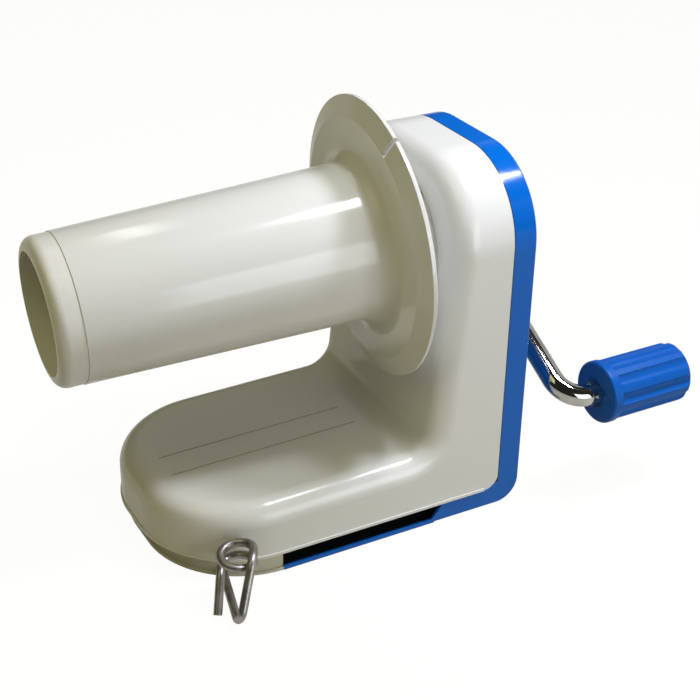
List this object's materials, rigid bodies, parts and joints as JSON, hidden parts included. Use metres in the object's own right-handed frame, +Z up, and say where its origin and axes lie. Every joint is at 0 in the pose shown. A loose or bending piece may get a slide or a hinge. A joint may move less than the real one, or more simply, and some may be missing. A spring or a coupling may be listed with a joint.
{
  "type": "yarn ball winder",
  "caption": "Hand-cranked yarn ball winder: a bobbin leaning on a geared carrier, an L-shaped body with a clamp slot, a crank with a fluted grip and a wire yarn guide.",
  "frame": {"origin": "centre of the base's underside, on the mid-plane and midway along the clamp slot", "axes": "+Z up, the bobbin points along -Y, the crank is at the back towards +Y, the yarn guide stands at +X"},
  "size_m": [0.112, 0.2252, 0.1491],
  "materials": {
    "white_plastic": "creamy white moulded plastic, polished",
    "blue_plastic": "bright blue moulded plastic, polished",
    "grip_plastic": "bright blue moulded plastic, polished",
    "bobbin_plastic": "white moulded plastic, polished",
    "frame_plastic": "grey moulded plastic",
    "gear_plastic": "natural acetal, moulded",
    "bush": "natural acetal, turned",
    "chrome": "bright chrome plate",
    "guide_steel": "drawn steel wire, satin",
    "steel": "turned steel",
    "screw_steel": "zinc plated steel"
  },
  "bodies": {
    "housing": {"front_shell": "white_plastic", "rear_shell": "blue_plastic", "base_tray": "white_plastic", "gear_frame": "frame_plastic", "ring_gear": "gear_plastic", "main_front_bush": "bush", "main_rear_bush": "bush", "crank_front_bush": "bush", "crank_rear_bush": "bush", "shell_screws": "screw_steel", "tray_screws": "screw_steel", "frame_screws": "screw_steel", "ring_screws": "screw_steel"},
    "crank": {"crank_rod": "chrome", "crank_gear": "gear_plastic", "crank_gear_pin": "steel", "crank_clip": "steel", "grip_clip": "steel"},
    "grip": {"grip": "grip_plastic", "grip_cap": "grip_plastic"},
    "carrier": {"carrier": "gear_plastic", "main_shaft": "steel", "main_pinion": "gear_plastic", "main_pinion_pin": "steel", "spindle": "steel", "spindle_washer": "steel", "spindle_screw": "screw_steel"},
    "bobbin": {"bobbin": "bobbin_plastic", "tip_cap": "bobbin_plastic", "hub_gear": "gear_plastic", "hub_gear_screws": "screw_steel"},
    "guide": {"guide_wire": "guide_steel", "guide_collar": "steel"}
  },
  "joints": [
    {"name": "crank_turn", "type": "hinge", "parent": "housing", "child": "crank", "pos_m": [0, 0.0813, 0.0674], "axis": [0, -1, 0], "continuous": true},
    {"name": "grip_spin", "type": "hinge", "parent": "crank", "child": "grip", "pos_m": [0.04976, 0.0944, 0.04172], "axis": [0, -1, 0], "continuous": true},
    {"name": "carrier_spin", "type": "hinge", "parent": "housing", "child": "carrier", "pos_m": [0, -0.0182, 0.0969], "axis": [0, -0.9954, 0.0958], "continuous": true},
    {"name": "bobbin_spin", "type": "hinge", "parent": "carrier", "child": "bobbin", "pos_m": [0, -0.0182, 0.0969], "axis": [-0.0666, -0.9962, -0.0558], "continuous": true},
    {"name": "guide_slide", "type": "slide", "parent": "housing", "child": "guide", "axis": [0.969, -0.247, 0], "range_m": [0, 0.034]}
  ],
  "couplings": [
    {"joint": "carrier_spin", "follows": "crank_turn", "ratio": -2.1429},
    {"joint": "bobbin_spin", "follows": "crank_turn", "ratio": 3.4439}
  ]
}
